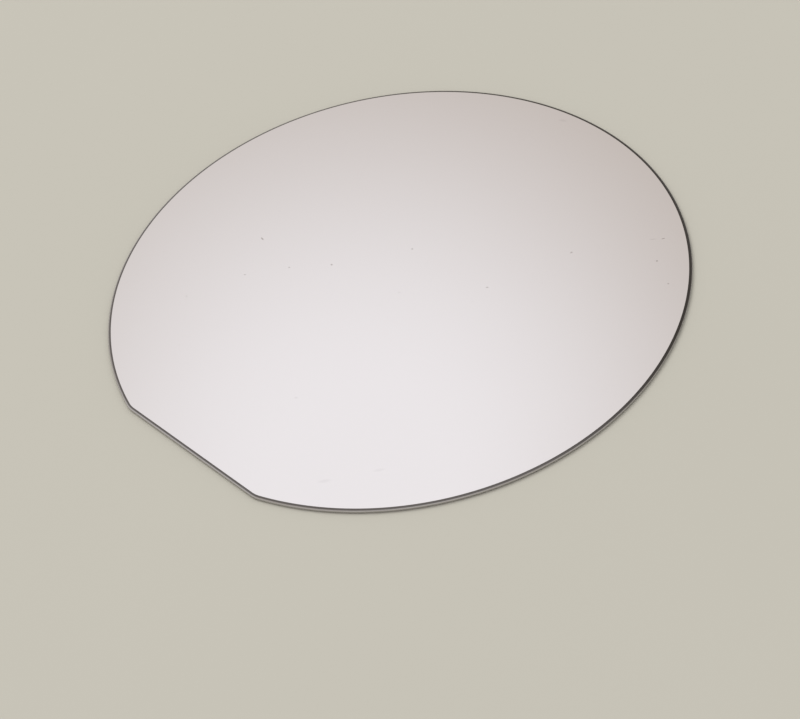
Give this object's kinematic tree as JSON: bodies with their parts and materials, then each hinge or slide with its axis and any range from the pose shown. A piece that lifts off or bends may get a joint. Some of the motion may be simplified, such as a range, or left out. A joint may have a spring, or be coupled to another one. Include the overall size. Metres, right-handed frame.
{
  "type": "indium phosphide wafer",
  "caption": "Thin round semiconductor wafer, mirror-polished on its front, with one orientation flat and a ground edge.",
  "frame": {"origin": "centre of the disc, on its back face", "axes": "+Z out of the polished front face, -Y out of the orientation flat, +X along the flat"},
  "size_m": [0.0508, 0.0495, 0.0004],
  "materials": {
    "indium_phosphide": "mirror-polished front face, etched matt back face, ground dark grey edge"
  },
  "bodies": {
    "root": {"wafer": "indium_phosphide"}
  },
  "joints": []
}
